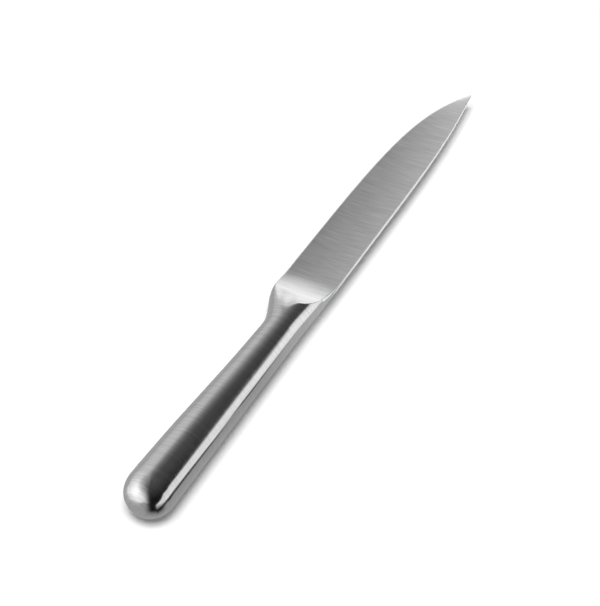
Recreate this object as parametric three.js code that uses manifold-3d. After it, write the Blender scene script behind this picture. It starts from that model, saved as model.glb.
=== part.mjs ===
// Kitchen utility knife, all steel: a forged blade welded to a hollow handle of two pressed shells.
// Millimetres. The pieces are drawn with +X from the butt to the tip, +Y from the spine to the cutting
// edge, and the blade's middle plane at z = 0. The finished group is then moved so that its origin lies
// under the middle of the knife, with the knife on its side and +Z up.
import * as THREE from "three";
import { mergeVertices } from "three/addons/utils/BufferGeometryUtils.js";
import Module from "manifold-3d";

const wasm = await Module();
wasm.setup();

// Lengths along the knife
const SHELL_LENGTH = 91.4; // butt to the neck weld
const NECK_WELD_WIDTH = 1.6;
const CHOIL_LENGTH = 21.4; // neck weld to the heel, where the cutting edge begins
const BLADE_LENGTH = 135.6; // heel to tip

// Handle, nearly round, swelling towards the butt
const BUTT_DEPTH = 18.3; // spine side to belly side
const BUTT_THICKNESS = 18.2;
const BUTT_DOME = 9.9; // length of the rounded end
const DOME_POWER = 2.2; // 2 is an ellipse, more is blunter
const NECK_DEPTH = 14.2;
const NECK_THICKNESS = 13.2;
const TAPER_SOFTNESS = 0.3; // 0 is a straight taper, 1 one that starts and ends level

// Outline of the blade
const HEEL_DEPTH = 20.35; // handle's line to the edge
const HEEL_THICKNESS = 12; // round body that the scoops are ground into
const CROWN_DEPTH = 7.1; // handle's line to where that body is thickest at the heel
const EDGE_RUN = 80.6; // how far the edge keeps the direction that it has at the heel
const EDGE_FALL = 0.8; // how far that direction falls over its run
const BELLY_REACH = 22.2; // how far behind the tip the belly turns up
const BELLY_DEPTH = 16; // how far below the tip it turns
const SPINE_RISE = 0.85; // how far the spine of the blade stands above the handle's line
const SPINE_RISE_RUN = 35; // neck to where it has risen
const SPINE_STRAIGHT = 60; // heel to where the spine begins to drop
const SPINE_CURVE = 2.6; // power of that drop
const TIP_DROP = 3.5; // handle's line down to the tip
const TIP_DEPTH = 0.5; // blunt end of the point

// Section of the blade
const SPINE_THICKNESS = 2.1;
const EDGE_THICKNESS = 0.4;
const TIP_THICKNESS = 1.4; // spine at the tip
const TAPER_START = 70; // heel to where the spine begins to thin
const SCOOP_RADIUS = 38; // hollow that runs from each side of the bolster into the blade
const SCOOP_RUNOUT = 10.4; // heel to the line where the scoop meets the flat of the blade

// Inside the handle
const SHELL_WALL = 1.2;
const SEAM_WELD_WIDTH = 1;
const SPIGOT_LENGTH = 14; // stub of the blade that registers inside the shells
const SPIGOT_CLEARANCE = 0.3;
const STOPPER_THICKNESS = 4;
const FILL_CLEARANCE = 0.3; // round the sand and the stopper
const FILL_HOLE_DIAMETER = 4;
const PLUG_LENGTH = 5;
const PLUG_CLEARANCE = 0.1;

// Facets
const RING_POINTS = 40;
const DOME_STEPS = 8;
const HANDLE_STEPS = 8;
const CHOIL_STEPS = 10;
const EDGE_STEPS = 18;
const SCOOP_STEPS = 10;
const OVERCUT = 2; // how far a cutter runs past what it cuts

const NECK_X = SHELL_LENGTH + NECK_WELD_WIDTH;
const HEEL_X = NECK_X + CHOIL_LENGTH;
const TIP_X = HEEL_X + BLADE_LENGTH;
const SPIGOT_X = NECK_X - SPIGOT_LENGTH;
const STOPPER_X = SPIGOT_X - FILL_CLEARANCE - STOPPER_THICKNESS;
const FILL_INSET = SHELL_WALL + FILL_CLEARANCE;
const GRIND = (SPINE_THICKNESS - EDGE_THICKNESS) / 2 / HEEL_DEPTH;
const HEEL_CROWN = (CROWN_DEPTH + SPINE_RISE) / (HEEL_DEPTH + SPINE_RISE);

const { clamp, lerp, smoothstep } = THREE.MathUtils;

// Places from a to b in equal steps, both ends among them.
const steps = (a, b, count) => Array.from({ length: count + 1 }, (_, i) => lerp(a, b, i / count));

// A closed oval across the knife, thickest at its crown.
function oval({ x, spine, crown, belly, halfThickness }) {
  const turns = steps(0, 2 * Math.PI, RING_POINTS).slice(1);
  return turns.map((a) => {
    const reach = Math.cos(a) > 0 ? crown - spine : belly - crown;
    return new THREE.Vector3(x, crown - reach * Math.cos(a), halfThickness * Math.sin(a));
  });
}

// The handle's section at x, or one that lies a wall's thickness inside it.
function handleSection(x, inset = 0) {
  const along = clamp((x - BUTT_DOME) / (NECK_X - BUTT_DOME), 0, 1);
  const share = along - (TAPER_SOFTNESS * Math.sin(2 * Math.PI * along)) / (2 * Math.PI);
  const centre = lerp(BUTT_DEPTH, NECK_DEPTH, share) / 2;
  const side = lerp(BUTT_THICKNESS, NECK_THICKNESS, share) / 2;
  const back = clamp((BUTT_DOME - x) / (BUTT_DOME - inset), 0, 1);
  const dome = (1 - back ** DOME_POWER) ** (1 / DOME_POWER);
  const halfDepth = (centre - inset) * dome;
  const halfThickness = (side - inset) * dome;
  return { x, spine: centre - halfDepth, crown: centre, belly: centre + halfDepth, halfThickness };
}

// Closed skin over ovals in order along +X, with its ends drawn to two points.
function skin(rings, startPoint, endPoint) {
  const count = RING_POINTS;
  const points = [...rings.flat(), startPoint, endPoint];
  const start = points.length - 2;
  const end = points.length - 1;
  const last = (rings.length - 1) * count;
  const index = [];
  for (let i = 0; i < count; i++) {
    const next = (i + 1) % count;
    index.push(start, i, next);
    index.push(end, last + next, last + i);
    for (let row = 0; row < last; row += count) {
      index.push(row + i, row + count + i, row + next);
      index.push(row + count + i, row + count + next, row + next);
    }
  }
  return new THREE.BufferGeometry().setFromPoints(points).setIndex(index);
}

// Skin with flat ends.
function barrel(sections) {
  const middle = ({ x, crown }) => new THREE.Vector3(x, crown, 0);
  return skin(sections.map(oval), middle(sections[0]), middle(sections.at(-1)));
}

// The handle from its domed butt to a flat end at x, or the same shape a wall's thickness smaller.
function domedBarrel(endX, inset = 0) {
  const reach = BUTT_DOME - inset;
  const turns = steps(0, Math.PI / 2, DOME_STEPS).slice(1);
  const places = turns.map((a) => BUTT_DOME - reach * clamp(Math.cos(a), 0, 1) ** (2 / DOME_POWER));
  places.push(...steps(BUTT_DOME, endX, HANDLE_STEPS).slice(1));
  const rings = places.map((x) => oval(handleSection(x, inset)));
  const pole = new THREE.Vector3(inset, BUTT_DEPTH / 2, 0);
  return skin(rings, pole, new THREE.Vector3(endX, handleSection(endX).crown, 0));
}

// Solids for cutting and joining.
function solid(geometry) {
  const bare = geometry.clone();
  bare.deleteAttribute("normal");
  bare.deleteAttribute("uv");
  const merged = mergeVertices(bare);
  const vertProperties = new Float32Array(merged.attributes.position.array);
  const triVerts = new Uint32Array(merged.index.array);
  return new wasm.Manifold(new wasm.Mesh({ numProp: 3, vertProperties, triVerts }));
}

function geometryOf(made) {
  const mesh = made.getMesh();
  const geometry = new THREE.BufferGeometry();
  geometry.setAttribute("position", new THREE.BufferAttribute(mesh.vertProperties, 3));
  geometry.setIndex(new THREE.BufferAttribute(mesh.triVerts, 1));
  geometry.computeVertexNormals();
  return geometry;
}

function block(low, high) {
  const size = new THREE.Vector3().subVectors(high, low);
  const middle = new THREE.Vector3().addVectors(low, high).multiplyScalar(0.5);
  return solid(new THREE.BoxGeometry(...size).translate(...middle));
}

// Round bar along the handle's axis, from outside the butt to x.
function buttBar(radius, endX) {
  const length = endX + OVERCUT;
  const bar = new THREE.CylinderGeometry(radius, radius, length, RING_POINTS);
  bar.rotateZ(-Math.PI / 2);
  bar.translate(length / 2 - OVERCUT, BUTT_DEPTH / 2, 0);
  return solid(bar);
}

// Outline of the blade: the spine, straight and then dropping to the tip, and the edge, one curve.
const edge = new THREE.CubicBezierCurve(
  new THREE.Vector2(HEEL_X, HEEL_DEPTH),
  new THREE.Vector2(HEEL_X + EDGE_RUN, HEEL_DEPTH - EDGE_FALL),
  new THREE.Vector2(TIP_X - BELLY_REACH, TIP_DROP + TIP_DEPTH + BELLY_DEPTH),
  new THREE.Vector2(TIP_X, TIP_DROP + TIP_DEPTH),
);

function spineAt(x) {
  const rise = SPINE_RISE * smoothstep(x, NECK_X, NECK_X + SPINE_RISE_RUN);
  const dropStart = HEEL_X + SPINE_STRAIGHT;
  const along = clamp((x - dropStart) / (TIP_X - dropStart), 0, 1);
  return (TIP_DROP + SPINE_RISE) * along ** SPINE_CURVE - rise;
}

// The bolster narrows like the handle. Its crown keeps to the handle's axis, so only its belly side flares.
function bladeSection(x, belly) {
  const spine = spineAt(x);
  const crown = lerp(spine, belly, lerp(0.5, HEEL_CROWN, smoothstep(x, NECK_X, HEEL_X)));
  const along = clamp((x - NECK_X) / CHOIL_LENGTH, 0, 1);
  return { x, spine, crown, belly, halfThickness: lerp(NECK_THICKNESS, HEEL_THICKNESS, along) / 2 };
}

function choilSection(x) {
  const out = smoothstep(x, NECK_X, HEEL_X);
  return bladeSection(x, lerp(NECK_DEPTH, HEEL_DEPTH, out));
}

// The ground side of the blade and the scoop behind it, as what is taken off one side of the forging.
function grindCut(side) {
  const half = SPINE_THICKNESS / 2;
  const top = NECK_THICKNESS / 2 + OVERCUT;
  const scoopEnd = HEEL_X + SCOOP_RUNOUT;
  const sweep = Math.acos(1 - (top - half) / SCOOP_RADIUS);
  const scoop = steps(sweep, 0, SCOOP_STEPS).map(
    (a) => new THREE.Vector2(
      scoopEnd - SCOOP_RADIUS * Math.sin(a),
      half + SCOOP_RADIUS * (1 - Math.cos(a)),
    ),
  );
  const taperX = HEEL_X + TAPER_START;
  const slope = (half - TIP_THICKNESS / 2) / (TIP_X - taperX);
  const profile = [
    ...scoop,
    new THREE.Vector2(taperX, half),
    new THREE.Vector2(TIP_X + OVERCUT, TIP_THICKNESS / 2 - slope * OVERCUT),
    new THREE.Vector2(TIP_X + OVERCUT, top),
  ];
  const shape = new THREE.Shape(profile.map((p) => new THREE.Vector2(p.x, side * p.y)));
  const depth = SPINE_RISE + HEEL_DEPTH + 2 * OVERCUT;
  const cut = new THREE.ExtrudeGeometry(shape, { depth, bevelEnabled: false });
  cut.rotateX(Math.PI / 2);
  cut.translate(0, HEEL_DEPTH + OVERCUT, 0);
  cut.applyMatrix4(new THREE.Matrix4().makeShear(0, 0, 0, -side * GRIND, 0, 0));
  return solid(cut);
}

function blade() {
  const spigotInset = SHELL_WALL + SPIGOT_CLEARANCE;
  const spigot = steps(SPIGOT_X, NECK_X, 2).map((x) => handleSection(x, spigotInset));
  const choil = steps(NECK_X, HEEL_X, CHOIL_STEPS).map(choilSection);
  const cutting = steps(0, 1, EDGE_STEPS)
    .slice(1)
    .map((t) => edge.getPoint(t))
    .map((p) => bladeSection(p.x, p.y));
  const forging = solid(barrel([...spigot, ...choil, ...cutting]));
  return geometryOf(forging.subtract(grindCut(1)).subtract(grindCut(-1)));
}

// Handle shells, the beads that close their seam, and the plug, all cut from one domed skin.
const outside = solid(domedBarrel(SHELL_LENGTH));
const tube = outside.subtract(solid(domedBarrel(SHELL_LENGTH + OVERCUT, SHELL_WALL)));
const fillHole = buttBar(FILL_HOLE_DIAMETER / 2, PLUG_LENGTH);
const seam = SEAM_WELD_WIDTH / 2;
const corner = (y, z) => new THREE.Vector3(-OVERCUT, y, z);
const farCorner = (y, z) => new THREE.Vector3(SHELL_LENGTH + OVERCUT, y, z);

function shell(low, high) {
  const half = block(corner(-OVERCUT, low), farCorner(BUTT_DEPTH + OVERCUT, high));
  return geometryOf(tube.intersect(half).subtract(fillHole));
}

function seamWeld(low, high) {
  const strip = block(corner(low, -seam), farCorner(high, seam));
  return geometryOf(tube.intersect(strip).subtract(fillHole));
}

function fillHolePlug() {
  const bar = buttBar(FILL_HOLE_DIAMETER / 2 - PLUG_CLEARANCE, PLUG_LENGTH);
  return geometryOf(outside.intersect(bar));
}

function neckWeld() {
  const ends = [SHELL_LENGTH, NECK_X];
  const bead = solid(barrel(ends.map((x) => handleSection(x))));
  const boreEnds = [SHELL_LENGTH - OVERCUT, ...ends, NECK_X + OVERCUT];
  const bore = solid(barrel(boreEnds.map((x) => handleSection(x, SHELL_WALL))));
  return geometryOf(bead.subtract(bore));
}

function sandBallast() {
  const charge = solid(domedBarrel(STOPPER_X - FILL_CLEARANCE, FILL_INSET));
  const plugPocket = buttBar(FILL_HOLE_DIAMETER / 2 + FILL_CLEARANCE, PLUG_LENGTH + FILL_CLEARANCE);
  return geometryOf(charge.subtract(plugPocket));
}

function ballastStopper() {
  return barrel([STOPPER_X, STOPPER_X + STOPPER_THICKNESS].map((x) => handleSection(x, FILL_INSET)));
}

// Finishes
const satinSteel = new THREE.MeshStandardMaterial({ color: 0xb9babb, roughness: 0.38, metalness: 1 });
const sand = new THREE.MeshStandardMaterial({ color: 0xc2a878, roughness: 0.95, metalness: 0 });
const fibre = new THREE.MeshStandardMaterial({ color: 0x8a5a3c, roughness: 0.85, metalness: 0 });

const middleY = BUTT_DEPTH / 2;
const pieces = [
  ["blade", blade(), satinSteel],
  ["left_handle_shell", shell(seam, BUTT_THICKNESS), satinSteel],
  ["right_handle_shell", shell(-BUTT_THICKNESS, -seam), satinSteel],
  ["spine_seam_weld", seamWeld(-OVERCUT, middleY), satinSteel],
  ["belly_seam_weld", seamWeld(middleY, BUTT_DEPTH + OVERCUT), satinSteel],
  ["neck_weld", neckWeld(), satinSteel],
  ["fill_hole_plug", fillHolePlug(), satinSteel],
  ["sand_ballast", sandBallast(), sand],
  ["ballast_stopper", ballastStopper(), fibre],
];

const knife = new THREE.Group();
const lowest = Math.max(HEEL_DEPTH, BUTT_DEPTH);
const thickest = Math.max(BUTT_THICKNESS, NECK_THICKNESS);
knife.position.set(-TIP_X / 2, (SPINE_RISE - lowest) / 2, thickest / 2);
for (const [name, geometry, material] of pieces) {
  const piece = new THREE.Mesh(geometry, material);
  piece.name = name;
  knife.add(piece);
}

// The group's own frame is the knife's frame.
const utilityKnife = new THREE.Group();
utilityKnife.add(knife);

export default utilityKnife;
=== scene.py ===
"""Kitchen utility knife, all of satin steel: a slim blade scooped out of a round, hollow handle.

The knife lies on its side. +X runs from the butt to the tip and +Y from the spine to the cutting edge.
"""

import math

import bmesh
import bpy
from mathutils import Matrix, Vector


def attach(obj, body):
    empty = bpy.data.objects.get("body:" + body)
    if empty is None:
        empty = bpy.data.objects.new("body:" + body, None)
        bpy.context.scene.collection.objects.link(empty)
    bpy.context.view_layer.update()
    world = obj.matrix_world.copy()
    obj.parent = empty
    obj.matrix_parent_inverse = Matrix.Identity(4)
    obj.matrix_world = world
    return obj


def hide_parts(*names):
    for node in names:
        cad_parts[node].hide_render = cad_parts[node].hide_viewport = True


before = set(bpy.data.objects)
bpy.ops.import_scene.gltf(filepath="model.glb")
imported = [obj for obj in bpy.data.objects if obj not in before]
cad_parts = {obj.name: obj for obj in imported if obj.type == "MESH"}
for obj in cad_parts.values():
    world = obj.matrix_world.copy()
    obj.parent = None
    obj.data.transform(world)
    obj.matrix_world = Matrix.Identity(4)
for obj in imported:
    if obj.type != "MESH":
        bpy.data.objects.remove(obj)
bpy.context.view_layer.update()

MM = 0.001
DEGREES = 180.0 / math.pi
FULL_CIRCLE = 360.0

# Lengths along the knife, from the butt
SHELL_LENGTH = 91.4 * MM
NECK_WELD_WIDTH = 1.6 * MM
CHOIL_LENGTH = 21.4 * MM
BLADE_LENGTH = 135.6 * MM
NECK_X = SHELL_LENGTH + NECK_WELD_WIDTH
HEEL_X = NECK_X + CHOIL_LENGTH
TIP_X = HEEL_X + BLADE_LENGTH

# Handle
BUTT_DEPTH = 18.3 * MM
BUTT_THICKNESS = 18.2 * MM
BUTT_DOME = 9.9 * MM
DOME_POWER = 2.2
NECK_DEPTH = 14.2 * MM
NECK_THICKNESS = 13.2 * MM
TAPER_SOFTNESS = 0.3
SHELL_WALL = 1.2 * MM
SEAM_WELD_WIDTH = 1.0 * MM
PLUG_DIAMETER = 4.0 * MM
PLUG_LENGTH = 4.5 * MM
SPIGOT_LENGTH = 14.0 * MM
SPIGOT_INSET = 1.5 * MM

# Outline and thickness of the blade
HEEL_DEPTH = 20.35 * MM
HEEL_THICKNESS = 12.0 * MM
CROWN_DEPTH = 7.1 * MM
NECK_CROWN_SHARE = 0.5
EDGE_RUN = 80.6 * MM
EDGE_FALL = 0.8 * MM
BELLY_REACH = 22.2 * MM
BELLY_DEPTH = 16.0 * MM
SPINE_RISE = 0.85 * MM
SPINE_RISE_RUN = 35.0 * MM
SPINE_STRAIGHT = 60.0 * MM
SPINE_CURVE = 2.6
TIP_DROP = 3.5 * MM
TIP_DEPTH = 0.5 * MM
SPINE_THICKNESS = 2.1 * MM
EDGE_THICKNESS = 0.4 * MM
TIP_THICKNESS = 1.4 * MM
TAPER_START = 70.0 * MM
TAPER_EASE = 1.5

# The scoop that thins the handle down to the blade, and the hollow grind of the flanks beyond it
SCOOP_RADIUS = 38.0 * MM
SCOOP_RUNOUT = 10.4 * MM
HOLLOW_DEPTH = 0.47 * MM
HOLLOW_SPAN = (HEEL_X - 4.0 * MM, HEEL_X + SCOOP_RUNOUT + 6.0 * MM)

# The eased corner of the spine, which goes on along the scoop's rim and fades out on the way up
SPINE_EASE_SHARE = 0.34
SPINE_EASE_SLOPE = 1.3
RIM_EASE_SHARE = 0.55
RIM_EASE_SLOPE = 0.95
RIM_EASE_FULL = 0.8 * MM
EASE_FADE = 1.6 * MM
EASE_REACH = 3.2 * MM
EASE_LIFT = 12.0 * MM
EASE_SOFTNESS = 0.25 * MM

# The bevel of the cutting edge, and the least thickness as a share of the round body
BEVEL_SLOPE = 0.35
BEVEL_LAND = 0.03 * MM
THINNEST_SHARE = 0.01

# How softly the round body turns into the scoop: crisp at the rim, and soft on the belly side.
# The ground finish starts and is full at two shares of that softness.
RIM_SOFTNESS = 0.5 * MM
BELLY_SOFTNESS = 5.5 * MM
BELLY_SIDE_START = (0.28, 0.55)
BELLY_SIDE_END = (0.72, 0.96)
BELLY_BLEND_END = (HEEL_X - 6.0 * MM, HEEL_X + 2.0 * MM)
GROUND_START = -0.6
GROUND_FULL = 0.1

# Mesh sizes: rows run along the knife and columns round it
BLADE_ROWS = 270
BLADE_COLUMNS = 281
CHOIL_ROW_SHARE = 0.4
HEEL_ROW_CROWDING = 1.5
EDGE_COLUMN_CROWDING = 0.375
SHELL_ROWS = 121
SHELL_COLUMNS = 91
SEAM_COLUMNS = 7
DOME_ROW_SHARE = 0.4
NECK_ROWS = 5
NECK_COLUMNS = 193
PLUG_ROWS = 13
PLUG_COLUMNS = 65
MERGE_DISTANCE = 0.0002 * MM
HANDLE_SHARP_ANGLE = 40
BLADE_SHARP_ANGLE = 80

# Satin steel. Each pair is for the brushed handle and for the ground blade, and cells are to the metre
STEEL_TONES = (0.66, 0.73)
STREAK_TONES = (0.28, 0.48)
STEEL_ROUGHNESSES = (0.13, 0.30)
STREAK_ROUGHNESSES = (0.05, 0.08)
CLOUD_SHARE = 0.03
STEEL_BLUE = 1.005
GROOVE_DEPTH = 0.003 * MM
SCRATCH_CELLS = (5200.0, 70.0, 70.0)
STREAK_CELLS = (2600.0, 90.0, 90.0)
CLOUD_CELLS = (60.0, 60.0, 60.0)
BRUSH_DETAIL = 2.0
NOISE_ROUGHNESS = 0.6
NOISE_MIDDLE = 0.5

# The filling inside the handle
SAND_DARK = (0.38, 0.27, 0.14, 1.0)
SAND_PALE = (0.72, 0.56, 0.34, 1.0)
SAND_CELLS = 2600.0
SAND_ROUGHNESS = 0.9
FIBRE_DARK = (0.16, 0.06, 0.03, 1.0)
FIBRE_PALE = (0.33, 0.15, 0.08, 1.0)
FIBRE_CELLS = 900.0
FIBRE_ROUGHNESS = 0.75
GRAIN_DETAIL = 3.0
GRAIN_STRENGTH = 0.6
GRAIN_HEIGHT = 0.2 * MM

# The floor touches the butt and rises along the underside of the tapering handle
FLOOR_X = -115.0 * MM
FLOOR_SLOPE = 0.008
FLOOR_REACH = 3.0
FLOOR_COLOUR = (0.96, 0.96, 0.96, 1.0)

# The lamp overhead, and the white surround with its weak fill light
LAMP_PLACE = Vector((-0.8, -0.32, 3.0))
LAMP_TARGET = Vector((0.0, 0.0, 0.0))
LAMP_WIDTH = 1.7
LAMP_POWER = 96.0
SURROUND_COLOUR = (1.0, 1.0, 1.0, 1.0)
SURROUND_STRENGTH = 1.0
FILL_STRENGTH = 0.22

# The tent. A heading is in degrees from +X towards +Y, and a rise is in degrees above the level
TENT_RADIUS = 0.8
TENT_X = -75.0 * MM
TENT_SEGMENTS = 64
TENT_RINGS = 32
TENT_SEAM = -100.0

# The tent's cloth: a soft light on the left that leans down towards the butt, and a paler corner low ahead
CLOTH_BY_HEADING = [
    (-100, 0.01), (-60, 0.01), (-40, 0.025), (-10, 0.04), (4, 0.095), (17, 0.175), (22, 0.22),
    (28, 0.30), (36, 0.46), (40, 0.60), (45, 0.67), (55, 0.735), (82, 0.84), (127, 1.48),
    (145, 1.55), (180, 1.05), (188, 0.76), (203, 0.10), (212, 0.01),
]
CLOTH_BY_RISE = [
    (0, 0.68), (5, 0.74), (11, 0.88), (22, 0.96), (30, 1.0), (45, 1.0), (53, 0.82), (63, 0.52),
    (72, 0.36), (90, 0.10),
]
LEAN_HEADINGS = (80.0, 195.0)
LEAN_RISE = 26.0
ROOF_RISES = (20.0, 75.0)
ROOF_TONE = 0.09
CORNER_START = (10.0, 24.0)
CORNER_END = (44.0, 56.0)
CORNER_TOP = (18.0, 30.0)
CORNER_TONE = 0.74

# The tent's white opening, low on the right. Its brow's rise is a share of BROW_SPAN, less BROW_DROP
BROW_BY_HEADING = [
    (-130, 0.0), (-115, 0.30), (-90, 0.49), (-62, 0.455), (-58, 0.45), (-40, 0.612), (-20, 0.63),
    (10, 0.61), (30, 0.58), (44, 0.50),
]
BROW_SPAN = 100.0
BROW_DROP = 30.0
BROW_SOFTNESSES = (1.0, 4.0)
BROW_SOFTENING = (0.0, 30.0)
OPENING_START = (-136.0, -118.0)
OPENING_END = 18.0
OPENING_LAST = (31.0, 42.0)
OPENING_LAST_RISES = (9.0, 20.0)
POST_START = (-25.0, -20.0)
POST_END = (-9.0, -3.0)
BESIDE_TONES = (0.94, 1.20)
BESIDE_HEADINGS = (-64.0, -48.0)
AHEAD_BY_RISE = [(0, 1.25), (6, 1.65), (10, 1.55), (14, 1.24), (20, 1.0), (26, 0.98), (30, 0.98)]
AHEAD_HEADINGS = (-20.0, 15.0)

# The glowing cards on the floor, in metres, with a wedge left open round the blade. They are painted
# reflection, seen only in the steel.
CARD_CORNERS = [
    (-0.118, -0.12), (-0.07, -0.12), (-0.06, -0.0505), (0.03, -0.083), (0.5, -0.515), (0.592, -0.22),
    (0.002, -0.014), (0.014, 0.0), (0.026, 0.04), (0.9, 0.607), (0.9, 0.85), (-0.118, 0.85),
    (-0.9, 0.85), (-0.9, -0.85), (-0.118, -0.85),
]
CARD_FACES = [(0, 1, 2, 3, 4, 5, 6, 7, 8, 9, 10, 11), (0, 11, 12, 13, 14)]
CARD_LIFT = 0.02 * MM

# Bearings and reaches on the cards go from a point under the butt
UNDER_BUTT_X = -116.0 * MM
UNDER_BUTT_Y = -1.0 * MM

# Painted reflection of the floor round the knife: the cards glow grey, paler on the left far from the butt
MIRRORED_FLOOR_TONES = (0.42, 0.58)
MIRRORED_FLOOR_SPAN = (-50.0 * MM, 0.0)
LEFT_TONE = 0.48
LEFT_SPAN = (-4.0 * MM, 30.0 * MM)
FAR_LEFT_TONE = 1.1
FAR_SPAN = (12.0 * MM, 70.0 * MM)
BEFORE_BUTT_SPAN = (-150.0 * MM, -110.0 * MM)

# A painted dark band in the mirrored floor on the right, along the border of the cards and close to the
# butt
PAINTED_DARK_BAND_TONE = 0.03
BORDER_Y = (-33.0 * MM, -56.0 * MM)
BORDER_SPAN = (-60.0 * MM, 25.0 * MM)
BORDER_SOFTNESS = (-6.0 * MM, 6.0 * MM)
BORDER_START = (-165.0, -140.0)
BORDER_END = (-30.0 * MM, 30.0 * MM)
CLOSE_REACH = (15.0 * MM, 32.0 * MM)
CLOSE_BEARINGS = (-128.0, -90.0)
CLOSE_SOFTNESS = (-4.0 * MM, 4.0 * MM)
CLOSE_START = (-140.0, -128.0)
CLOSE_END = (-95.0, -85.0)

# A painted dark spot before the butt, which the butt's dome mirrors
SPOT_TONE = 0.012
SPOT_BEARING = -134.0
SPOT_WIDTH = (14.0, 44.0)
SPOT_REACH = (8.0 * MM, 24.0 * MM)

# A painted lit patch beyond the dark band. Its reach is a share of LIT_SCALE
LIT_TONES = (0.2, 0.95)
LIT_TONE_REACH = (22.0 * MM, 75.0 * MM)
LIT_BY_BEARING = [(-128, 0.24), (-108, 0.36), (-90, 0.56), (-74, 0.72), (-60, 0.62), (-45, 0.68)]
LIT_SCALE = 100.0 * MM
LIT_SOFTNESS = (-3.0 * MM, 5.0 * MM)
LIT_SIDE = (-131.0, -118.0)
LIT_SIDE_REACH = (40.0 * MM, 170.0 * MM)
LIT_SIDE_SOFTNESS = (-4.0, 4.0)
LIT_LAST = (-30.0, -20.0)
LIT_END = (-60.0 * MM, -45.0 * MM)

# Where the knife's own corner goes in the row frame
TO_FRAME = Vector((-TIP_X / 2, (SPINE_RISE - HEEL_DEPTH) / 2, BUTT_THICKNESS / 2))

# The camera stands where the photograph was taken from
CAMERA_AZIMUTH = math.radians(-61.4854)
CAMERA_ELEVATION = math.radians(44.9894)
CAMERA_DISTANCE = 700.0 * MM
CAMERA_TARGET = Vector((110.75 * MM, 7.87 * MM, 0.0)) + TO_FRAME
SENSOR_WIDTH = 36.0
FOCAL_LENGTH = 114.79
CLIP_START = 0.01
CLIP_END = 100.0


class Wire:
    """One output socket of a node. Arithmetic on wires adds Math nodes to their tree."""

    def __init__(self, pen, socket):
        self.pen = pen
        self.socket = socket

    def __add__(self, other):
        return self.pen.math("ADD", self, other)

    def __sub__(self, other):
        return self.pen.math("SUBTRACT", self, other)

    def __rsub__(self, other):
        return self.pen.math("SUBTRACT", other, self)

    def __mul__(self, other):
        return self.pen.math("MULTIPLY", self, other)

    def __truediv__(self, other):
        return self.pen.math("DIVIDE", self, other)

    def __rtruediv__(self, other):
        return self.pen.math("DIVIDE", other, self)

    def __pow__(self, other):
        return self.pen.math("POWER", self, other)

    __radd__ = __add__
    __rmul__ = __mul__


class Pen:
    """Writes nodes into one tree."""

    def __init__(self, tree):
        self.tree = tree

    def node(self, kind, settings=None, sockets=None, output=0):
        """Adds a node, with its settings first and then its sockets' values or wires."""
        made = self.tree.nodes.new(kind)
        for name, value in (settings or {}).items():
            if name == "stops":
                set_stops(made.color_ramp, value)
            else:
                setattr(made, name, value)
        for name, value in (sockets or {}).items():
            if isinstance(value, Wire):
                self.tree.links.new(value.socket, made.inputs[name])
            else:
                made.inputs[name].default_value = value
        return Wire(self, made.outputs[output]) if made.outputs else made

    def math(self, operation, *values):
        return self.node("ShaderNodeMath", {"operation": operation}, dict(enumerate(values)))

    def lower(self, a, b):
        return self.math("MINIMUM", a, b)

    def upper(self, a, b):
        return self.math("MAXIMUM", a, b)

    def part(self, value, start, end):
        """How far value is from start to end, from 0 to 1."""
        return self.lower(self.upper((value - start) / (end - start), 0.0), 1.0)

    def smooth(self, share):
        """A share from 0 to 1 that starts and ends gently."""
        return share * share * (3.0 - 2.0 * share)

    def smooth_part(self, value, start, end):
        return self.smooth(self.part(value, start, end))

    def mix(self, a, b, share):
        return a + (b - a) * share

    def split(self, vector):
        """The three parts of a vector."""
        made = self.node("ShaderNodeSeparateXYZ", {}, {"Vector": vector})
        return [Wire(self, socket) for socket in made.socket.node.outputs]

    def inputs(self, sizes):
        """Makes named inputs of a Geometry Nodes tree, and gives their wires by name."""
        for name, kind in sizes.items():
            self.tree.interface.new_socket(name, in_out="INPUT", socket_type="NodeSocket" + kind)
        entry = self.tree.nodes.new("NodeGroupInput")
        return {name: Wire(self, entry.outputs[name]) for name in sizes}


def set_stops(ramp, stops):
    """Sets a colour ramp's stops, each a place and a grey."""
    ramp.elements.remove(ramp.elements[1])
    for index, (place, grey) in enumerate(stops):
        stop = ramp.elements[0] if index == 0 else ramp.elements.new(place)
        stop.position = place
        stop.color = (grey, grey, grey, 1.0)


def finish_skin(pen, grid, x, y, z, finish):
    """Ends a skin tree: moves the grid's points to the skin, closes its seam and gives it its finish."""
    place = pen.node(
        "ShaderNodeCombineXYZ",
        {},
        {"X": x + TO_FRAME.x, "Y": y + TO_FRAME.y, "Z": z + TO_FRAME.z},
    )
    moved = pen.node("GeometryNodeSetPosition", {}, {"Geometry": grid, "Position": place})
    merged = pen.node("GeometryNodeMergeByDistance", {}, {"Geometry": moved, "Distance": MERGE_DISTANCE})
    whole = pen.node("GeometryNodeRealizeInstances", {}, {"Geometry": merged})
    coated = pen.node("GeometryNodeSetMaterial", {}, {"Geometry": whole, "Material": finish})
    pen.tree.interface.new_socket("Skin", in_out="OUTPUT", socket_type="NodeSocketGeometry")
    pen.node("NodeGroupOutput", {}, {"Skin": coated})


def start_skin(name, sizes):
    """Begins a skin tree: a pen, its inputs, a square grid, and the grid's share along and round."""
    tree = bpy.data.node_groups.new(name, "GeometryNodeTree")
    pen = Pen(tree)
    inputs = pen.inputs({"Rows": "Int", "Columns": "Int", "Finish": "Material", **sizes})
    side = 1.0
    grid = pen.node(
        "GeometryNodeMeshGrid",
        {},
        {"Size X": side, "Size Y": side, "Vertices X": inputs["Rows"], "Vertices Y": inputs["Columns"]},
    )
    across = pen.split(pen.node("GeometryNodeInputPosition"))
    return pen, inputs, grid, across[0] + side / 2, across[1] + side / 2


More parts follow.
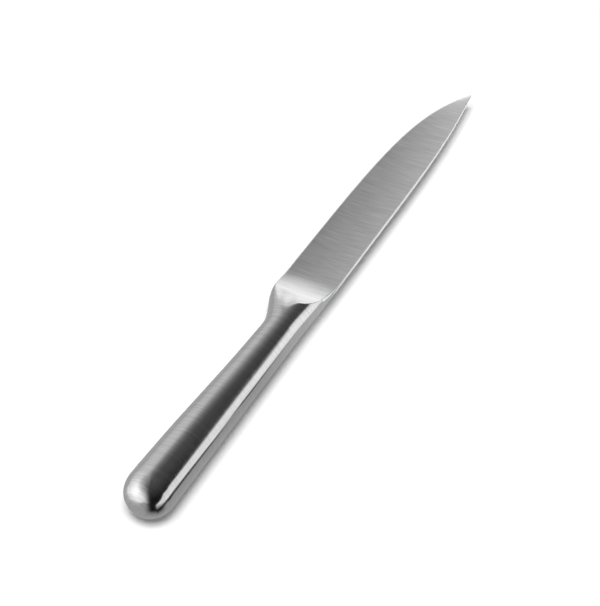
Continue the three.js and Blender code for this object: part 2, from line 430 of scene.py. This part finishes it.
def handle_skin_tree():
    """A patch of the handle's round skin.

    The turn is 0 at the spine, and a seam share of 1 or -1 moves an end to one side of a weld.
    """
    pen, size, grid, along, round_share = start_skin(
        "handle skin",
        {
            "Dome share": "Float",
            "Dome start": "Float",
            "Dome end": "Float",
            "Straight start": "Float",
            "Straight end": "Float",
            "First turn": "Float",
            "First seam": "Float",
            "Last turn": "Float",
            "Last seam": "Float",
        },
    )
    dome_angle = pen.mix(size["Dome start"], size["Dome end"], pen.part(along, 0.0, size["Dome share"]))
    dome_x = BUTT_DOME - BUTT_DOME * pen.math("COSINE", dome_angle) ** (2.0 / DOME_POWER)
    straight_share = pen.upper(along - size["Dome share"], 0.0) / (1.0 - size["Dome share"])
    x = dome_x + (size["Straight start"] - BUTT_DOME) + straight_share * (
        size["Straight end"] - size["Straight start"]
    )
    taper = pen.part(x, BUTT_DOME, NECK_X)
    taper = taper - pen.math("SINE", taper * math.tau) * (TAPER_SOFTNESS / math.tau)
    dome_scale = pen.math("SINE", dome_angle) ** (2.0 / DOME_POWER)
    middle = pen.mix(BUTT_DEPTH / 2, NECK_DEPTH / 2, taper)
    half_depth = middle * dome_scale
    half_thickness = pen.mix(BUTT_THICKNESS / 2, NECK_THICKNESS / 2, taper) * dome_scale
    seam_turn = pen.math("ARCSINE", pen.lower(SEAM_WELD_WIDTH / 2 / half_thickness, 1.0))
    turn = pen.mix(
        size["First turn"] + size["First seam"] * seam_turn,
        size["Last turn"] + size["Last seam"] * seam_turn,
        round_share,
    )
    y = middle - half_depth * pen.math("COSINE", turn)
    z = half_thickness * pen.math("SINE", turn)
    finish_skin(pen, grid, x, y, z, size["Finish"])
    return pen.tree


def blade_skin_tree():
    """The skin of the forging from the neck to the tip.

    It is a round body, cut on both sides by a ground flank that curves out into the scoop.
    """
    pen, size, grid, along, round_share = start_skin("blade skin", {"Choil share": "Float"})

    # The outline: the choil, then one curve along the cutting edge, with the spine above them
    choil = pen.part(along, 0.0, size["Choil share"])
    edge = pen.part(along, size["Choil share"], 1.0) ** HEEL_ROW_CROWDING
    rest = 1.0 - edge
    pull_heel = 3.0 * rest * rest * edge
    pull_belly = 3.0 * rest * edge * edge
    pull_tip = edge * edge * edge
    tip_low = TIP_DROP + TIP_DEPTH
    blade_x = pull_heel * EDGE_RUN + pull_belly * (BLADE_LENGTH - BELLY_REACH) + pull_tip * BLADE_LENGTH
    edge_rise = (
        pull_heel * -EDGE_FALL
        + pull_belly * (tip_low + BELLY_DEPTH - HEEL_DEPTH)
        + pull_tip * (tip_low - HEEL_DEPTH)
    )
    x = choil * CHOIL_LENGTH + blade_x + NECK_X
    low = pen.mix(NECK_DEPTH, HEEL_DEPTH, pen.smooth(choil)) + edge_rise
    drop = pen.part(x, HEEL_X + SPINE_STRAIGHT, TIP_X) ** SPINE_CURVE * (TIP_DROP + SPINE_RISE)
    high = drop - pen.smooth_part(x, NECK_X, NECK_X + SPINE_RISE_RUN) * SPINE_RISE

    # The round body
    heel_share = (CROWN_DEPTH + SPINE_RISE) / (HEEL_DEPTH + SPINE_RISE)
    crown = high + (low - high) * pen.mix(NECK_CROWN_SHARE, heel_share, pen.smooth(choil))
    crowding = pen.math("SINE", round_share * (2.0 * math.tau)) * EDGE_COLUMN_CROWDING
    turn = round_share * math.tau - crowding
    sine = pen.math("SINE", turn)
    cosine = pen.math("COSINE", turn)
    y = crown - pen.upper(cosine, 0.0) * (crown - high) - pen.lower(cosine, 0.0) * (low - crown)
    body_half = pen.mix(NECK_THICKNESS / 2, HEEL_THICKNESS / 2, choil)
    body = pen.math("ABSOLUTE", sine) * body_half

    # The flank, its scoop and the bevel of the cutting edge
    scoop_run = pen.upper(HEEL_X + SCOOP_RUNOUT - x, 0.0)
    scoop_run = pen.lower(scoop_run, SCOOP_RADIUS)
    scoop = SCOOP_RADIUS - pen.math("SQRT", SCOOP_RADIUS * SCOOP_RADIUS - scoop_run * scoop_run)
    thinning = pen.part(x, HEEL_X + TAPER_START, TIP_X) ** TAPER_EASE
    spine_half = SPINE_THICKNESS / 2 - thinning * ((SPINE_THICKNESS - TIP_THICKNESS) / 2)
    share_down = pen.part(y, high, low)
    width_share = (low - high) / HEEL_DEPTH
    past_scoop = pen.smooth_part(x, *HOLLOW_SPAN)
    hollow = share_down * (1.0 - share_down) * width_share * width_share * past_scoop * (4.0 * HOLLOW_DEPTH)
    flank = scoop + pen.mix(spine_half, EDGE_THICKNESS / 2, share_down) - hollow
    bevel = (low - y) * BEVEL_SLOPE + scoop + BEVEL_LAND

    # The eased corner follows the line where the flank's top meets the body, so it runs up the rim
    spine_share = spine_half / body_half
    rim_share = pen.lower((scoop + spine_half) / body_half, 1.0)
    rim_inset = pen.math("SQRT", 1.0 - spine_share * spine_share)
    rim_inset = rim_inset - pen.math("SQRT", 1.0 - rim_share * rim_share)
    rim_y = high + (crown - high) * rim_inset
    up_scoop = pen.part(scoop, 0.0, RIM_EASE_FULL)
    ease_end = pen.smooth_part(scoop, EASE_FADE, EASE_REACH)
    ease_slope = pen.mix(SPINE_EASE_SLOPE, RIM_EASE_SLOPE, up_scoop)
    ease_cut = spine_half * pen.mix(SPINE_EASE_SHARE, RIM_EASE_SHARE, up_scoop)
    eased = (y - rim_y) * ease_slope + scoop + spine_half - ease_cut + ease_end * EASE_LIFT

    # Body and flank blend into each other, and the steel's finish follows which of them is outside
    belly_side = pen.smooth_part(share_down, *BELLY_SIDE_START)
    belly_side = belly_side * (1.0 - pen.smooth_part(share_down, *BELLY_SIDE_END))
    before_heel = 1.0 - pen.smooth_part(x, *BELLY_BLEND_END)
    softness = pen.mix(RIM_SOFTNESS, BELLY_SOFTNESS, belly_side * before_heel)
    above_flank = pen.lower(body, eased) - flank
    ground = pen.part(above_flank, softness * GROUND_START, softness * GROUND_FULL)
    grid = pen.node(
        "GeometryNodeStoreNamedAttribute",
        {"data_type": "FLOAT", "domain": "POINT"},
        {"Geometry": grid, "Name": "ground", "Value": ground},
    )
    flank = pen.math("SMOOTH_MIN", pen.lower(flank, bevel), eased, EASE_SOFTNESS)
    height = pen.math("SMOOTH_MIN", body, flank, softness)
    z = pen.math("SIGN", sine) * pen.upper(height, body * THINNEST_SHARE)
    finish_skin(pen, grid, x, y, z, size["Finish"])
    return pen.tree


def grow(name, tree, sizes):
    """A plain mesh object grown by a Geometry Nodes tree with these sizes."""
    piece = bpy.data.objects.new(name, bpy.data.meshes.new(name))
    bpy.context.scene.collection.objects.link(piece)
    grower = piece.modifiers.new("grower", "NODES")
    grower.node_group = tree
    for item in tree.interface.items_tree:
        if item.in_out == "INPUT":
            grower[item.identifier] = sizes[item.name]
    settle(piece)
    return piece


def settle(piece):
    """Turns a piece and its modifiers into a plain mesh."""
    evaluated = piece.evaluated_get(bpy.context.evaluated_depsgraph_get())
    mesh = bpy.data.meshes.new_from_object(evaluated)
    piece.modifiers.clear()
    piece.data = mesh


def shade(piece, angle):
    """Smooth shading, apart from edges sharper than angle."""
    piece.data.shade_smooth()
    piece.data.set_sharp_from_angle(angle=math.radians(angle))


def handle_piece(name, tree, rows, columns, wall, sizes):
    """A closed piece of the handle: a patch of its skin with a wall behind it."""
    piece = grow(name, tree, {"Rows": rows, "Columns": columns, "Finish": satin_steel, **sizes})
    solid = piece.modifiers.new("wall", "SOLIDIFY")
    solid.thickness = wall
    solid.offset = -1.0
    solid.use_even_offset = True
    settle(piece)
    shade(piece, HANDLE_SHARP_ANGLE)
    return piece


def blade_piece(tree):
    """The forging: its skin, closed at the tip, with the spigot that sits inside the handle's neck."""
    piece = grow(
        "knife_blade",
        tree,
        {
            "Rows": BLADE_ROWS,
            "Columns": BLADE_COLUMNS,
            "Choil share": CHOIL_ROW_SHARE,
            "Finish": satin_steel,
        },
    )
    mesh = bmesh.new()
    mesh.from_mesh(piece.data)
    ends = [edge for edge in mesh.edges if edge.is_boundary]
    tip_rim = [edge for edge in ends if edge.verts[0].co.x > 0]
    neck_rim = [edge for edge in ends if edge.verts[0].co.x < 0]
    bmesh.ops.contextual_create(mesh, geom=tip_rim)
    shoulder = extruded(mesh, neck_rim)
    middle = Vector((NECK_X, NECK_DEPTH / 2, 0.0)) + TO_FRAME
    inset = 1.0 - SPIGOT_INSET / (NECK_THICKNESS / 2)
    for vertex in points_of(shoulder):
        vertex.co = middle + (vertex.co - middle) * inset
    spigot = extruded(mesh, shoulder)
    for vertex in points_of(spigot):
        vertex.co.x -= SPIGOT_LENGTH
    bmesh.ops.contextual_create(mesh, geom=spigot)
    bmesh.ops.recalc_face_normals(mesh, faces=mesh.faces)
    mesh.to_mesh(piece.data)
    mesh.free()
    shade(piece, BLADE_SHARP_ANGLE)
    return piece


def extruded(mesh, edges):
    """The far edges of an extrusion of a rim."""
    made = bmesh.ops.extrude_edge_only(mesh, edges=edges)
    return [part for part in made["geom"] if isinstance(part, bmesh.types.BMEdge) and part.is_boundary]


def points_of(edges):
    """The points at the ends of these edges."""
    return {vertex for edge in edges for vertex in edge.verts}


def new_material(name):
    """An empty material and its pen."""
    material = bpy.data.materials.new(name)
    material.use_nodes = True
    material.node_tree.nodes.clear()
    return material, Pen(material.node_tree)


def stretched_noise(pen, coordinates, cells, detail):
    """Noise with its own number of cells to the metre along each axis."""
    placed = pen.node("ShaderNodeVectorMath", {"operation": "MULTIPLY"}, {0: coordinates, 1: cells})
    return pen.node(
        "ShaderNodeTexNoise",
        {},
        {"Vector": placed, "Scale": 1.0, "Detail": detail, "Roughness": NOISE_ROUGHNESS},
    )


def satin_steel_finish():
    """Stainless steel, brushed across the blade and round the handle."""
    material, pen = new_material("satin_steel")
    coordinates = pen.node("ShaderNodeTexCoord", {}, {}, "Object")
    ground = pen.node("ShaderNodeAttribute", {"attribute_name": "ground"}, {}, "Fac")
    scratches = stretched_noise(pen, coordinates, SCRATCH_CELLS, BRUSH_DETAIL)
    streaks = stretched_noise(pen, coordinates, STREAK_CELLS, BRUSH_DETAIL) - NOISE_MIDDLE
    clouds = stretched_noise(pen, coordinates, CLOUD_CELLS, BRUSH_DETAIL) - NOISE_MIDDLE
    tone = pen.mix(*STEEL_TONES, ground)
    tone = tone + streaks * pen.mix(*STREAK_TONES, ground) + clouds * CLOUD_SHARE
    colour = pen.node(
        "ShaderNodeCombineColor", {}, {"Red": tone, "Green": tone, "Blue": tone * STEEL_BLUE}
    )
    roughness = pen.mix(*STEEL_ROUGHNESSES, ground)
    roughness = roughness + streaks * pen.mix(*STREAK_ROUGHNESSES, ground) + clouds * CLOUD_SHARE
    grooves = pen.node(
        "ShaderNodeBump", {}, {"Strength": 1.0, "Distance": GROOVE_DEPTH, "Height": scratches}
    )
    steel = pen.node(
        "ShaderNodeBsdfPrincipled",
        {},
        {"Base Color": colour, "Metallic": 1.0, "Roughness": roughness, "Normal": grooves},
    )
    pen.node("ShaderNodeOutputMaterial", {}, {"Surface": steel})
    return material


def grainy_finish(name, dark, pale, cells, roughness):
    """A dull grainy material, for the filling inside the handle."""
    material, pen = new_material(name)
    coordinates = pen.node("ShaderNodeTexCoord", {}, {}, "Object")
    grains = stretched_noise(pen, coordinates, (cells, cells, cells), GRAIN_DETAIL)
    colour = pen.node(
        "ShaderNodeMix", {"data_type": "RGBA"}, {"Factor": grains, "A": dark, "B": pale}, "Result"
    )
    bumps = pen.node(
        "ShaderNodeBump", {}, {"Strength": GRAIN_STRENGTH, "Distance": GRAIN_HEIGHT, "Height": grains}
    )
    dull = pen.node(
        "ShaderNodeBsdfPrincipled",
        {},
        {"Base Color": colour, "Roughness": roughness, "Normal": bumps},
    )
    pen.node("ShaderNodeOutputMaterial", {}, {"Surface": dull})
    return material


def on_floor(corners):
    """Points of the floor over these corners."""
    return [(x, y, (x - FLOOR_X) * FLOOR_SLOPE) for x, y in corners]


def lay_floor():
    """A plain pale floor."""
    mesh = bpy.data.meshes.new("floor")
    corners = [
        (-FLOOR_REACH, -FLOOR_REACH),
        (FLOOR_REACH, -FLOOR_REACH),
        (FLOOR_REACH, FLOOR_REACH),
        (-FLOOR_REACH, FLOOR_REACH),
    ]
    mesh.from_pydata(on_floor(corners), [], [(0, 1, 2, 3)])
    floor = bpy.data.objects.new("floor", mesh)
    bpy.context.scene.collection.objects.link(floor)
    material, pen = new_material("pale_floor")
    paper = pen.node("ShaderNodeBsdfDiffuse", {}, {"Color": FLOOR_COLOUR})
    pen.node("ShaderNodeOutputMaterial", {}, {"Surface": paper})
    mesh.materials.append(material)


def only_in_reflections(thing):
    """Glowing gear, painted with light and dark, that the steel mirrors, and that neither shows nor casts a
    shadow.
    """
    thing.visible_camera = False
    thing.visible_diffuse = False
    thing.visible_shadow = False


def glowing(material, pen, tone):
    """Ends a material that shines with a grey tone of its own, as painted light."""
    colour = pen.node("ShaderNodeCombineColor", {}, {"Red": tone, "Green": tone, "Blue": tone})
    glow = pen.node("ShaderNodeEmission", {}, {"Color": colour, "Strength": 1.0})
    pen.node("ShaderNodeOutputMaterial", {}, {"Surface": glow})
    return material


def ramp(pen, value, stops):
    """A tone that follows value through stops, each a value and its tone."""
    low, high = stops[0][0], stops[-1][0]
    placed = [((place - low) / (high - low), tone) for place, tone in stops]
    return pen.node("ShaderNodeValToRGB", {"stops": placed}, {"Fac": (value - low) / (high - low)})


def hang_tent():
    """A round tent over the knife that glows, seen only in reflections: painted soft light on the left, a
    painted white opening low on the right, dark above.
    """
    mesh = bpy.data.meshes.new("tent")
    dome = bmesh.new()
    bmesh.ops.create_uvsphere(dome, u_segments=TENT_SEGMENTS, v_segments=TENT_RINGS, radius=TENT_RADIUS)
    dome.to_mesh(mesh)
    dome.free()
    tent = bpy.data.objects.new("tent", mesh)
    tent.location.x = TENT_X
    bpy.context.scene.collection.objects.link(tent)
    material, pen = new_material("tent_painted_glow")
    toward = pen.node(
        "ShaderNodeVectorMath",
        {"operation": "NORMALIZE"},
        {0: pen.node("ShaderNodeTexCoord", {}, {}, "Object")},
    )
    x, y, z = pen.split(toward)
    heading = pen.math("ARCTAN2", y, x) * DEGREES
    rise = pen.math("ARCSINE", z) * DEGREES

    turned = heading + pen.math("LESS_THAN", heading, TENT_SEAM) * FULL_CIRCLE
    lean = pen.part(turned, *LEAN_HEADINGS) * LEAN_RISE
    # Painted light of the tent's sides, brighter on the left
    sides = ramp(pen, turned, CLOTH_BY_HEADING) * ramp(pen, rise + lean, CLOTH_BY_RISE)
    roof = pen.part(rise, *ROOF_RISES) * ROOF_TONE
    corner = pen.part(heading, *CORNER_START) * (1.0 - pen.part(heading, *CORNER_END))
    corner = corner * (1.0 - pen.smooth_part(rise, *CORNER_TOP))
    cloth = pen.upper(sides + roof, corner * CORNER_TONE)

    brow = ramp(pen, heading, BROW_BY_HEADING) * BROW_SPAN - BROW_DROP
    softness = pen.mix(*BROW_SOFTNESSES, pen.part(heading, *BROW_SOFTENING))
    opening = pen.part(brow - rise, softness * -1.0, softness)
    last = pen.mix(*OPENING_LAST, pen.part(rise, *OPENING_LAST_RISES))
    opening = opening * pen.part(heading, *OPENING_START)
    opening = opening * (1.0 - pen.smooth_part(heading, OPENING_END, last))
    post = pen.smooth_part(heading, *POST_START) * (1.0 - pen.smooth_part(heading, *POST_END))
    beside = pen.mix(*BESIDE_TONES, pen.part(heading, *BESIDE_HEADINGS))
    ahead = ramp(pen, rise, AHEAD_BY_RISE)
    white = pen.mix(beside, ahead, pen.part(heading, *AHEAD_HEADINGS))
    # The tent glows with these painted tones
    tone = pen.mix(cloth, white, opening * (1.0 - post))
    mesh.materials.append(glowing(material, pen, tone))
    only_in_reflections(tent)


def lay_cards():
    """Cards round the knife that glow with a painted reflection of the floor: grey, paler far off on the
    left, with a painted dark band on the right, a painted dark spot before the butt and a painted lit
    patch.
    """
    mesh = bpy.data.meshes.new("cards")
    mesh.from_pydata(on_floor(CARD_CORNERS), [], CARD_FACES)
    cards = bpy.data.objects.new("cards", mesh)
    cards.location.z = CARD_LIFT
    bpy.context.scene.collection.objects.link(cards)
    material, pen = new_material("painted_floor_reflection")
    x, y = pen.split(pen.node("ShaderNodeTexCoord", {}, {}, "Object"))[:2]
    along = x - UNDER_BUTT_X
    aside = y - UNDER_BUTT_Y
    reach = pen.math("SQRT", along * along + aside * aside)
    bearing = pen.math("ARCTAN2", aside, along) * DEGREES

    # Painted reflection: the grey of the floor round the knife, paler on the left
    left = pen.smooth_part(y, *LEFT_SPAN)
    before_butt = 1.0 - pen.smooth_part(x, *BEFORE_BUTT_SPAN)
    pale = pen.mix(*MIRRORED_FLOOR_TONES, pen.part(x, *MIRRORED_FLOOR_SPAN))
    pale = pen.mix(pale, LEFT_TONE, left)
    pale = pen.mix(pale, FAR_LEFT_TONE, pen.part(reach, *FAR_SPAN) * left * before_butt)

    # Painted dark band on the right and close to the butt
    border = pen.mix(*BORDER_Y, pen.part(x, *BORDER_SPAN))
    dark_band = 1.0 - pen.smooth_part(y - border, *BORDER_SOFTNESS)
    dark_band = dark_band * (1.0 - pen.part(x, *BORDER_END)) * pen.part(bearing, *BORDER_START)
    close = pen.mix(*CLOSE_REACH, pen.part(bearing, *CLOSE_BEARINGS))
    close_dark_band = pen.part(reach - close, *CLOSE_SOFTNESS) * (1.0 - pen.part(bearing, *CLOSE_END))
    dark_band = pen.upper(dark_band, close_dark_band * pen.part(bearing, *CLOSE_START))

    # Painted dark spot before the butt
    off_spot = pen.math("ABSOLUTE", bearing - SPOT_BEARING)
    spot = 1.0 - pen.smooth_part(off_spot, *SPOT_WIDTH)
    spot = spot * pen.smooth_part(reach, *SPOT_REACH)

    # Painted lit patch beyond the dark band
    lit_reach = ramp(pen, bearing, LIT_BY_BEARING) * LIT_SCALE
    lit = pen.part(reach - lit_reach, *LIT_SOFTNESS)
    lit_side = pen.mix(*LIT_SIDE, pen.part(reach, *LIT_SIDE_REACH))
    lit = lit * pen.part(bearing - lit_side, *LIT_SIDE_SOFTNESS)
    lit = lit * (1.0 - pen.part(bearing, *LIT_LAST)) * (1.0 - pen.part(x, *LIT_END))
    lit_tone = pen.mix(*LIT_TONES, pen.part(reach, *LIT_TONE_REACH))

    # The cards glow with these painted tones
    tone = pen.mix(pale, PAINTED_DARK_BAND_TONE, dark_band)
    tone = pen.mix(tone, SPOT_TONE, spot)
    tone = pen.mix(tone, lit_tone, lit)
    mesh.materials.append(glowing(material, pen, tone))
    only_in_reflections(cards)


def light_world():
    """A white surround for the camera and for reflections, and a weak fill for everything else."""
    world = bpy.data.worlds.new("white_surround")
    world.use_nodes = True
    world.node_tree.nodes.clear()
    bpy.context.scene.world = world
    pen = Pen(world.node_tree)
    seen = pen.upper(
        pen.node("ShaderNodeLightPath", {}, {}, "Is Camera Ray"),
        pen.upper(
            pen.node("ShaderNodeLightPath", {}, {}, "Is Glossy Ray"),
            pen.node("ShaderNodeLightPath", {}, {}, "Is Transmission Ray"),
        ),
    )
    white = pen.node(
        "ShaderNodeBackground",
        {},
        {"Color": SURROUND_COLOUR, "Strength": pen.mix(FILL_STRENGTH, SURROUND_STRENGTH, seen)},
    )
    pen.node("ShaderNodeOutputWorld", {}, {"Surface": white})


def facing(direction):
    """The rotation of a lamp or camera that looks this way."""
    return direction.to_track_quat("-Z", "Y").to_euler()


def hang_lamp():
    """A soft square lamp high up beyond the butt, which the steel doesn't mirror."""
    lamp = bpy.data.lights.new("overhead_softbox", "AREA")
    lamp.shape = "RECTANGLE"
    lamp.size = LAMP_WIDTH
    lamp.size_y = LAMP_WIDTH
    lamp.energy = LAMP_POWER
    holder = bpy.data.objects.new("overhead_softbox", lamp)
    holder.location = LAMP_PLACE
    holder.rotation_euler = facing(LAMP_TARGET - LAMP_PLACE)
    holder.visible_glossy = False
    bpy.context.scene.collection.objects.link(holder)


def set_camera():
    """The photograph's viewing angle, distance and framing."""
    back = Vector(
        (
            math.sin(CAMERA_AZIMUTH) * math.cos(CAMERA_ELEVATION),
            -math.cos(CAMERA_AZIMUTH) * math.cos(CAMERA_ELEVATION),
            math.sin(CAMERA_ELEVATION),
        )
    )
    lens = bpy.data.cameras.new("camera")
    lens.sensor_fit = "HORIZONTAL"
    lens.sensor_width = SENSOR_WIDTH
    lens.lens = FOCAL_LENGTH
    lens.clip_start = CLIP_START
    lens.clip_end = CLIP_END
    camera = bpy.data.objects.new("camera", lens)
    camera.location = CAMERA_TARGET + back * CAMERA_DISTANCE
    camera.rotation_euler = facing(-back)
    bpy.context.scene.collection.objects.link(camera)
    bpy.context.scene.camera = camera


set_camera()
satin_steel = satin_steel_finish()

handle_skin = handle_skin_tree()
plug_angle = math.asin((PLUG_DIAMETER / BUTT_DEPTH) ** (DOME_POWER / 2))
whole_handle = {
    "Dome share": DOME_ROW_SHARE,
    "Dome start": plug_angle,
    "Dome end": math.pi / 2,
    "Straight start": BUTT_DOME,
    "Straight end": SHELL_LENGTH,
}
left_turns = {"First turn": 0.0, "First seam": 1.0, "Last turn": math.pi, "Last seam": -1.0}
right_turns = {"First turn": math.pi, "First seam": 1.0, "Last turn": math.tau, "Last seam": -1.0}
spine_turns = {"First turn": 0.0, "First seam": -1.0, "Last turn": 0.0, "Last seam": 1.0}
belly_turns = {"First turn": math.pi, "First seam": -1.0, "Last turn": math.pi, "Last seam": 1.0}
full_turn = {"First turn": 0.0, "First seam": 0.0, "Last turn": math.tau, "Last seam": 0.0}
neck_run = {
    "Dome share": 0.0,
    "Dome start": math.pi / 2,
    "Dome end": math.pi / 2,
    "Straight start": SHELL_LENGTH,
    "Straight end": NECK_X,
}
plug_run = {
    "Dome share": 1.0,
    "Dome start": 0.0,
    "Dome end": plug_angle,
    "Straight start": BUTT_DOME,
    "Straight end": BUTT_DOME,
}
made_pieces = {
    "blade": blade_piece(blade_skin_tree()),
    "left_handle_shell": handle_piece(
        "handle_shell_left",
        handle_skin,
        SHELL_ROWS,
        SHELL_COLUMNS,
        SHELL_WALL,
        {**whole_handle, **left_turns},
    ),
    "right_handle_shell": handle_piece(
        "handle_shell_right",
        handle_skin,
        SHELL_ROWS,
        SHELL_COLUMNS,
        SHELL_WALL,
        {**whole_handle, **right_turns},
    ),
    "spine_seam_weld": handle_piece(
        "seam_weld_spine",
        handle_skin,
        SHELL_ROWS,
        SEAM_COLUMNS,
        SHELL_WALL,
        {**whole_handle, **spine_turns},
    ),
    "belly_seam_weld": handle_piece(
        "seam_weld_belly",
        handle_skin,
        SHELL_ROWS,
        SEAM_COLUMNS,
        SHELL_WALL,
        {**whole_handle, **belly_turns},
    ),
    "neck_weld": handle_piece(
        "weld_neck",
        handle_skin,
        NECK_ROWS,
        NECK_COLUMNS,
        SHELL_WALL,
        {**neck_run, **full_turn},
    ),
    "fill_hole_plug": handle_piece(
        "butt_plug",
        handle_skin,
        PLUG_ROWS,
        PLUG_COLUMNS,
        PLUG_LENGTH,
        {**plug_run, **full_turn},
    ),
}
for node, piece in made_pieces.items():
    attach(piece, "root")
    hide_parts(node)

fillings = {
    "sand_ballast": grainy_finish("dry_sand", SAND_DARK, SAND_PALE, SAND_CELLS, SAND_ROUGHNESS),
    "ballast_stopper": grainy_finish(
        "pressed_fibre", FIBRE_DARK, FIBRE_PALE, FIBRE_CELLS, FIBRE_ROUGHNESS
    ),
}
for node, finish in fillings.items():
    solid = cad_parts[node]
    solid.data.materials.clear()
    solid.data.materials.append(finish)

lay_floor()
hang_tent()
lay_cards()
light_world()
hang_lamp()

bpy.context.scene.view_settings.view_transform = "Standard"

bpy.context.view_layer.update()
